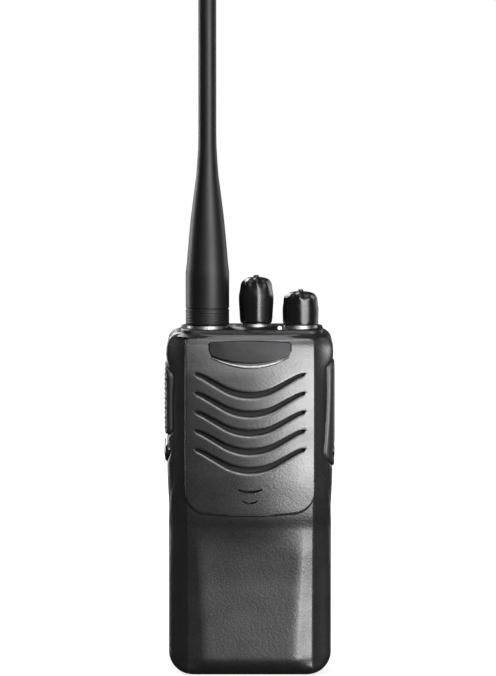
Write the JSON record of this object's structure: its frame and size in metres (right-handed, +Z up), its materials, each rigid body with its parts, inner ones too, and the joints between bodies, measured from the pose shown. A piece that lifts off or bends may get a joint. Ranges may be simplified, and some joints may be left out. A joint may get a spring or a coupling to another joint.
{
  "type": "two way radio",
  "caption": "Handheld two way radio with whip antenna, volume and channel knobs, side talk button, screwed jack cover and a tilt-off latched battery pack.",
  "frame": {"origin": "middle of the foot, on the face the radio stands on", "axes": "+Z up along the radio and its antenna, -Y the speaker side, +X to the viewer's right from the front"},
  "size_m": [0.0538, 0.0298, 0.2667],
  "materials": {
    "case_plastic": "fine matt texture, charcoal",
    "battery_plastic": "satin black",
    "knob_plastic": "glossy black",
    "button_rubber": "soft satin",
    "antenna_rubber": "satin black",
    "cover_plastic": "satin black",
    "badge_metal": "brushed silver",
    "label_film": "blank dark label film",
    "led_plastic": "frosted red",
    "ring_metal": "satin nickel plate",
    "brass": "turned",
    "cast_alloy": "die cast",
    "steel": "bright",
    "screw_steel": "black oxide",
    "board": "green solder mask",
    "chip": "moulded",
    "cloth": "woven dust cloth",
    "paper_cone": "film cone",
    "seal_rubber": "soft",
    "connector": "moulded",
    "contact_gold": "gold plated",
    "cell_wrap": "shrink film"
  },
  "bodies": {
    "radio": {"front_case": "case_plastic", "badge_plate": "badge_metal", "badge_trim": "badge_metal", "label_plate": "label_film", "led_lens": "led_plastic", "rear_panel": "battery_plastic", "case_gasket": "seal_rubber", "speaker_mesh": "cloth", "speaker_frame": "steel", "speaker_cone": "paper_cone", "speaker_magnet": "steel", "mic_capsule": "steel", "mic_boot": "seal_rubber", "chassis": "cast_alloy", "chassis_screws": "screw_steel", "main_board": "board", "board_screws": "steel", "shield_cans": "steel", "processor_chips": "chip", "side_key_membrane": "seal_rubber", "side_switches": "connector", "speaker_jack": "connector", "mic_jack": "connector", "terminal_block": "connector", "terminal_springs": "contact_gold", "volume_control": "steel", "volume_ring": "ring_metal", "channel_switch": "steel", "channel_ring": "ring_metal", "antenna_receptacle": "brass", "antenna_collar": "ring_metal"},
    "antenna": {"antenna_whip": "antenna_rubber", "antenna_plug": "brass", "antenna_core": "steel"},
    "volume": {"volume_knob": "knob_plastic", "volume_shaft": "brass"},
    "channel": {"channel_knob": "knob_plastic", "channel_shaft": "brass"},
    "ptt": {"ptt_button": "button_rubber"},
    "side_key": {"side_button": "button_rubber"},
    "cover": {"jack_cover": "cover_plastic", "jack_cover_seal": "seal_rubber"},
    "cover_screw": {"jack_screw": "screw_steel"},
    "battery": {"battery_rear_case": "battery_plastic", "battery_front_case": "battery_plastic", "battery_cells": "cell_wrap", "cell_tabs": "steel", "battery_board": "board", "battery_contacts": "contact_gold", "charging_contacts": "contact_gold", "latch_spring": "steel"},
    "latch": {"battery_latch": "button_rubber"}
  },
  "joints": [
    {"name": "volume_turn", "type": "hinge", "parent": "radio", "child": "volume", "pos_m": [0.00192, -0.0018, 0.118], "axis": [0, 0, -1], "range_deg": [0, 280]},
    {"name": "channel_turn", "type": "hinge", "parent": "radio", "child": "channel", "pos_m": [0.0158, -0.0018, 0.115], "axis": [0, 0, -1], "continuous": true},
    {"name": "antenna_turn", "type": "hinge", "parent": "radio", "child": "antenna", "pos_m": [-0.01325, -0.0018, 0.1107], "axis": [0, 0, 1], "continuous": true},
    {"name": "ptt_press", "type": "slide", "parent": "radio", "child": "ptt", "axis": [1, 0, 0], "range_m": [0, 0.0008], "stiffness_N_per_m": 1500, "springref_m": -0.001},
    {"name": "side_key_press", "type": "slide", "parent": "radio", "child": "side_key", "axis": [1, 0, 0], "range_m": [0, 0.0006], "stiffness_N_per_m": 1500, "springref_m": -0.001},
    {"name": "jack_cover_lift", "type": "slide", "parent": "radio", "child": "cover", "axis": [1, 0, 0], "range_m": [0, 0.04]},
    {"name": "jack_screw_turn", "type": "hinge", "parent": "cover", "child": "cover_screw", "pos_m": [0.0263, -0.0056, 0.0703], "axis": [1, 0, 0], "continuous": true},
    {"name": "battery_tilt", "type": "hinge", "parent": "radio", "child": "battery", "pos_m": [0, 0.002, 0.0002], "axis": [-1, 0, 0], "range_deg": [0, 28]},
    {"name": "latch_slide", "type": "slide", "parent": "battery", "child": "latch", "axis": [0, 0, -1], "range_m": [0, 0.0025], "stiffness_N_per_m": 800, "springref_m": -0.001, "deforming": ["latch_spring"]}
  ]
}
